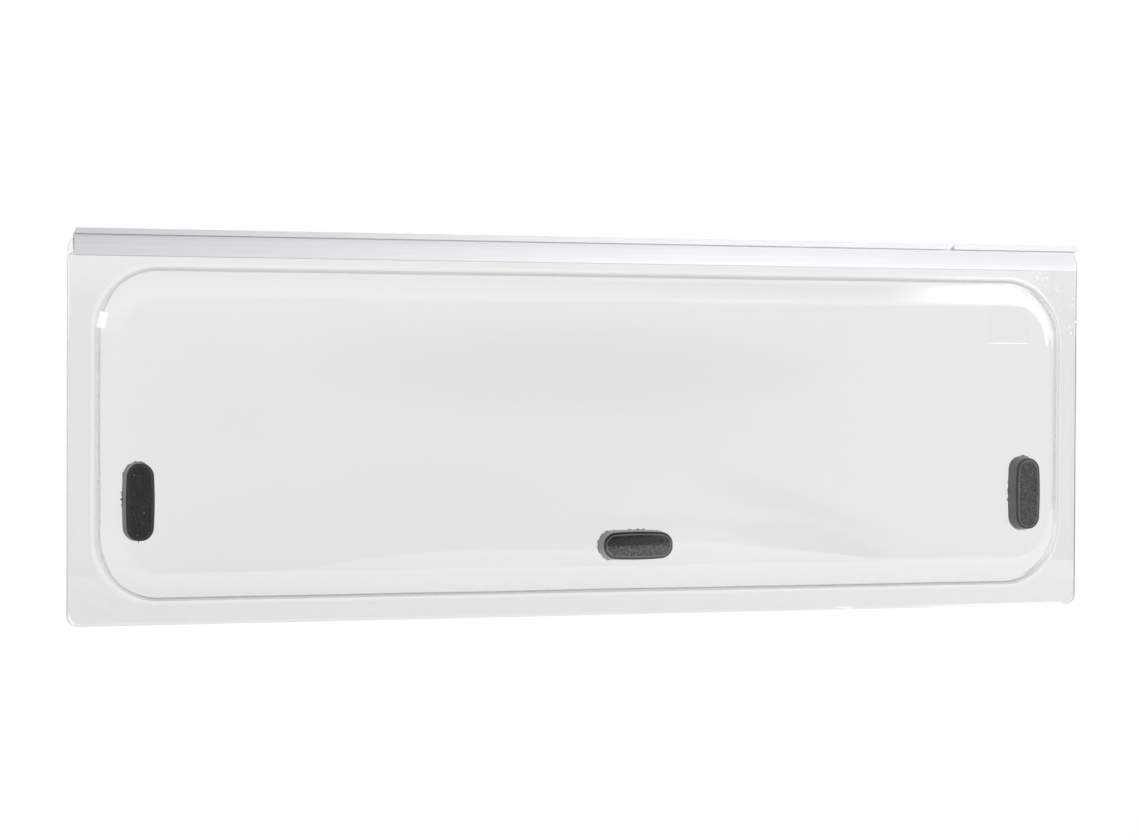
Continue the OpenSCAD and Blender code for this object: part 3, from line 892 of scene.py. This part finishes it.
def reflected_room(tree, x, y, z):
    """How bright gloss sees each direction: a white backdrop behind the window, a dim room in
    front of it with a dark patch at eye level, a pale wall to the right, a tall softbox over it,
    and a small lamp on the left."""
    # The softbox is bounded on its left, below and on its right, and comes forward overhead
    over = add(tree, "MAXIMUM", (add(tree, "SUBTRACT", (z, 0.6)), 0.0))
    right_edge = add(tree, "MULTIPLY_ADD", (x, -0.77, add(tree, "MULTIPLY", (y, -1.0))))
    right_edge = add(tree, "MULTIPLY_ADD", (over, 1.2, right_edge))
    far_right = add(tree, "MapRange", (x, 0.47, 0.56, 0.0, 1.0), **SOFT)
    above = add(tree, "MULTIPLY_ADD", (far_right, 0.029, z))
    box = add(tree, "MULTIPLY", (add(tree, "MapRange", (x, 0.427, 0.460, 0.0, 1.0), **SOFT),
                                 add(tree, "MapRange", (above, 0.035, 0.042, 0.0, 1.0), **SOFT)))
    box = add(tree, "MULTIPLY", (box, add(tree, "MapRange", (right_edge, -0.01, 0.01, 0.0, 1.0), **SOFT)))
    # The small lamp on the left
    lamp = add(tree, "MULTIPLY", (add(tree, "MapRange", (z, 0.09, 0.12, 0.0, 1.0), **SOFT),
                                  add(tree, "MapRange", (z, 0.40, 0.43, 1.0, 0.0), **SOFT)))
    beside = add(tree, "MULTIPLY", (add(tree, "MapRange", (y, -0.20, -0.14, 0.0, 1.0), **SOFT),
                                    add(tree, "MapRange", (x, -0.89, -0.87, 1.0, 0.0), **SOFT)))
    lamp = add(tree, "MULTIPLY", (lamp, beside))
    room = add(tree, "ADD", (add(tree, "MapRange", (x, 0.40, 0.48, 0.36, 0.51), **SOFT),
                             add(tree, "MapRange", (z, 0.012, 0.036, 0.0, 0.27), **SOFT)))
    # A pale strip just over eye level, and less above it on the right
    strip = add(tree, "MULTIPLY", (add(tree, "MapRange", (z, 0.022, 0.030, 0.0, 1.0), **SOFT),
                                   add(tree, "MapRange", (z, 0.045, 0.070, 1.0, 0.0), **SOFT)))
    strip = add(tree, "MULTIPLY", (strip, add(tree, "MapRange", (x, 0.466, 0.477, 1.0, 0.0), **SOFT)))
    bright = add(tree, "MapRange", (x, 0.20, 0.44, 0.18, 0.42), **SOFT)
    room = add(tree, "MULTIPLY_ADD", (strip, bright, room))
    less = add(tree, "MULTIPLY", (add(tree, "MapRange", (z, 0.05, 0.20, 0.0, 0.30), **SOFT),
                                  add(tree, "MapRange", (x, 0.30, 0.40, 0.0, 1.0), **SOFT)))
    room = add(tree, "SUBTRACT", (room, less))
    for x_at, z_at, wide, high, lean, dark in ROOM_SHAPES:
        off = add(tree, "SUBTRACT", (x, x_at))
        over = add(tree, "MULTIPLY_ADD", (off, -lean, add(tree, "SUBTRACT", (z, z_at))))
        across, up = add(tree, "DIVIDE", (off, wide)), add(tree, "DIVIDE", (over, high))
        away = add(tree, "MULTIPLY_ADD", (across, across, add(tree, "MULTIPLY", (up, up))))
        near = add(tree, "MapRange", (away, 0.0, 1.6, 1.0, 0.0), **SOFT)
        room = add(tree, "MULTIPLY_ADD", (near, -dark, room))
    room = add(tree, "MAXIMUM", (room, 0.0))
    room = add(tree, "MULTIPLY_ADD", (box, 3.0, room))
    room = add(tree, "MULTIPLY_ADD", (lamp, 4.0, room))
    backdrop = add(tree, "MapRange", (y, 0.0, 0.25, 0.0, 1.0), **SOFT)
    return add(tree, "Mix", {"Factor": backdrop, "A": room, "B": 1.0}, **NUMBERS)


def studio_world():
    """White behind everything the camera or a clear pane looks at, the room and its lamps in
    gloss, and soft light on matt surfaces."""
    world = bpy.data.worlds.new("studio")
    world.use_nodes = True
    tree = world.node_tree
    tree.nodes.clear()
    path = add(tree, "LightPath").outputs
    way = add(tree, "TexCoord").outputs["Generated"]
    x, y, z = add(tree, "SeparateXYZ", [way]).outputs
    gloss = reflected_room(tree, x, y, z)
    # A ray that a clear face has turned back on its way sees the studio too, though it leaves
    # the pane as a transmitted one
    turned = add(tree, "MULTIPLY", (add(tree, "GREATER_THAN", (path["Glossy Depth"], 0.5)),
                                    add(tree, "SUBTRACT", (1.0, path["Is Diffuse Ray"]))))
    turned = add(tree, "MAXIMUM", (turned, path["Is Glossy Ray"]))
    first_matt = add(tree, "LESS_THAN", (path["Diffuse Depth"], 0.5))
    through = add(tree, "MULTIPLY", (path["Is Transmission Ray"], first_matt))
    seen = add(tree, "MAXIMUM", (path["Is Camera Ray"], through))
    # Matt surfaces are lit by the white backdrop and, less, by the room
    soft = add(tree, "MULTIPLY", (add(tree, "MapRange", (y, -0.10, 0.20, 0.65, 1.0), **SOFT),
                                  add(tree, "MapRange", (z, 0.10, 0.50, 1.0, 0.4), **SOFT)))
    # and by a white card on the left, which whitens what faces that way
    soft = add(tree, "ADD", (soft, add(tree, "MapRange", (x, -0.75, -0.55, 0.58, 0.0), **SOFT)))
    level = add(tree, "Mix", {"Factor": seen, "A": soft, "B": 1.0}, **NUMBERS)
    level = add(tree, "Mix", {"Factor": turned, "A": level, "B": gloss}, **NUMBERS)
    light = add(tree, "Background", {"Color": linear("#ffffff"), "Strength": level})
    add(tree, "OutputWorld", {"Surface": light})
    bpy.context.scene.world = world


def softbox(name, x, power):
    """A lamp straight in front of the window, which gloss and clear panes don't show."""
    data = bpy.data.lights.new(name, "AREA")
    data.shape = "RECTANGLE"
    data.size, data.size_y = 0.5, 0.4
    data.energy = power
    lamp = bpy.data.objects.new(name, data)
    bpy.context.scene.collection.objects.link(lamp)
    lamp.location = (x, -0.9, 0.14)
    lamp.rotation_euler = Vector((0, 1, 0)).to_track_quat("-Z", "Y").to_euler()
    lamp.visible_camera = False
    lamp.visible_glossy = False
    lamp.visible_transmission = False


floor_piece()
studio_world()
softbox("key_softbox", 0.36, 4.3)
softbox("left_softbox", -0.22, 1.25)

# Camera, solved from the window's edges and blocks in the photograph

camera_data = bpy.data.cameras.new("camera")
camera_data.sensor_fit = "HORIZONTAL"
camera_data.sensor_width = 36
camera_data.lens = 102.39
camera_data.clip_end = 50
camera = bpy.data.objects.new("camera", camera_data)
bpy.context.scene.collection.objects.link(camera)
camera.location = (-1.1826, -3.1781, 0.0638)
camera.rotation_euler = [math.radians(a) for a in (89.1062, -0.2578, -19.9063)]
bpy.context.scene.camera = camera
bpy.context.scene.view_settings.view_transform = "Standard"
